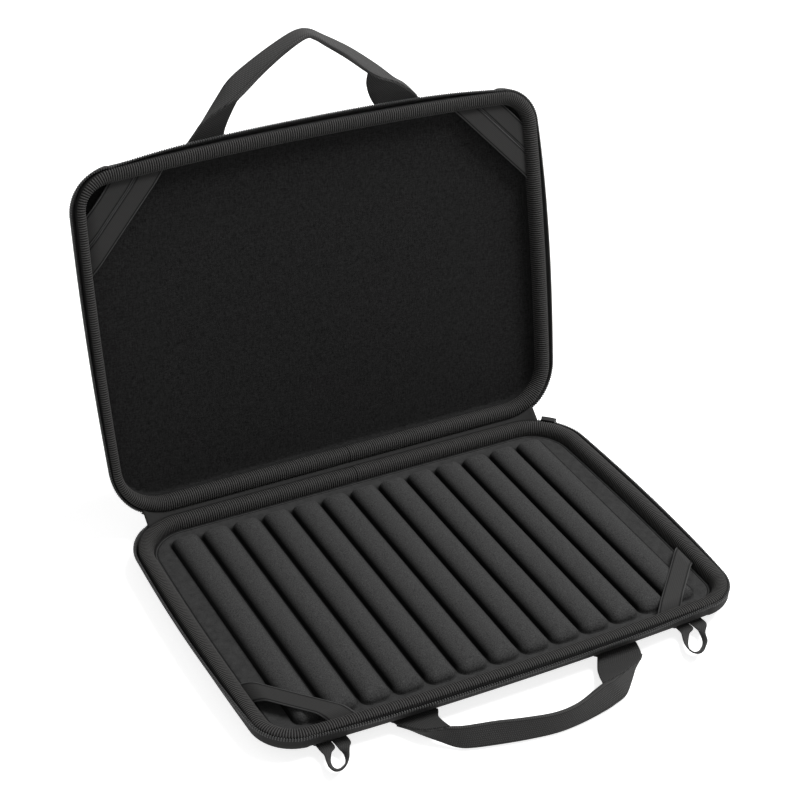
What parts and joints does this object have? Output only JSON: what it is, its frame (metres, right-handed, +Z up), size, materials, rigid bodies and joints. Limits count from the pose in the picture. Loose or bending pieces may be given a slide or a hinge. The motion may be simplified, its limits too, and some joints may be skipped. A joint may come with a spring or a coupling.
{
  "type": "laptop hard case",
  "caption": "Zipped hard case for a laptop: two padded shells on a fabric hinge, with ribbed foam pad, elastic corner straps, webbing handles and hook loops.",
  "frame": {"origin": "middle of the flat bottom face of the base half", "axes": "X along the hinge, -Y towards the front where the base handle is, +Z up; the lid stands open at rest"},
  "size_m": [0.3498, 0.3706, 0.3191],
  "materials": {
    "shell_fabric": "matte",
    "foam": "matte",
    "rib_fabric": "matte",
    "lining_fabric": "matte",
    "binding_tape": "matte",
    "zip_tape": "matte",
    "zip_teeth": "satin",
    "webbing": "matte",
    "elastic": "matte",
    "zip_metal": "satin"
  },
  "bodies": {
    "base_half": {"base_shell": "shell_fabric", "base_wall_pad": "foam", "base_foam_core": "foam", "base_panel": "rib_fabric", "foam_ribs": "rib_fabric", "base_binding": "binding_tape", "base_zip_tape": "zip_tape", "base_zip_teeth": "zip_teeth", "base_zip_stops": "zip_metal", "base_handle_ends": "webbing", "base_strap_left": "elastic", "base_strap_right": "elastic", "loop_ends": "webbing", "hinge_tape": "binding_tape"},
    "lid_half": {"lid_shell": "shell_fabric", "lid_wall_pad": "foam", "lid_foam_sheet": "foam", "lid_lining": "lining_fabric", "lid_binding": "binding_tape", "lid_zip_tape": "zip_tape", "lid_zip_teeth": "zip_teeth", "lid_zip_stops": "zip_metal", "lid_handle_ends": "webbing", "lid_strap_left_inner": "elastic", "lid_strap_left_outer": "elastic", "lid_strap_right_inner": "elastic", "lid_strap_right_outer": "elastic"},
    "base_grip": {"base_handle": "webbing"},
    "lid_grip": {"lid_handle": "webbing"},
    "left_loop": {"loop_left": "webbing"},
    "right_loop": {"loop_right": "webbing"},
    "slider": {"zip_slider": "zip_metal"},
    "pull": {"zip_pull": "zip_metal"}
  },
  "joints": [
    {"name": "lid_hinge", "type": "hinge", "parent": "base_half", "child": "lid_half", "pos_m": [0, 0.1217, 0.0193], "axis": [-1, 0, 0], "range_deg": [-101.5, 78.5], "deforming": ["hinge_tape"]},
    {"name": "base_handle_fold", "type": "hinge", "parent": "base_half", "child": "base_grip", "pos_m": [0, -0.1324, 0.0067], "axis": [-1, 0, 0], "range_deg": [0, 60], "stiffness_Nm_per_rad": 0.06},
    {"name": "lid_handle_fold", "type": "hinge", "parent": "lid_half", "child": "lid_grip", "pos_m": [0, 0.18471, 0.26579], "axis": [1, 0, 0], "range_deg": [0, 60], "stiffness_Nm_per_rad": 0.06},
    {"name": "left_loop_swing", "type": "hinge", "parent": "base_half", "child": "left_loop", "pos_m": [-0.128, -0.1291, 0.00685], "axis": [-1, 0, 0], "range_deg": [0, 60], "stiffness_Nm_per_rad": 0.01},
    {"name": "right_loop_swing", "type": "hinge", "parent": "base_half", "child": "right_loop", "pos_m": [0.128, -0.1291, 0.00685], "axis": [-1, 0, 0], "range_deg": [0, 60], "stiffness_Nm_per_rad": 0.01},
    {"name": "slider_travel", "type": "hinge", "parent": "base_half", "child": "slider", "pos_m": [0.13171, 0.0831, 0.01], "axis": [0, 0, -1], "range_deg": [0, 33]},
    {"name": "pull_swing", "type": "hinge", "parent": "slider", "child": "pull", "pos_m": [0.16301, 0.11551, 0.0153], "axis": [0.7193, -0.6947, 0], "range_deg": [-4, 130]}
  ]
}
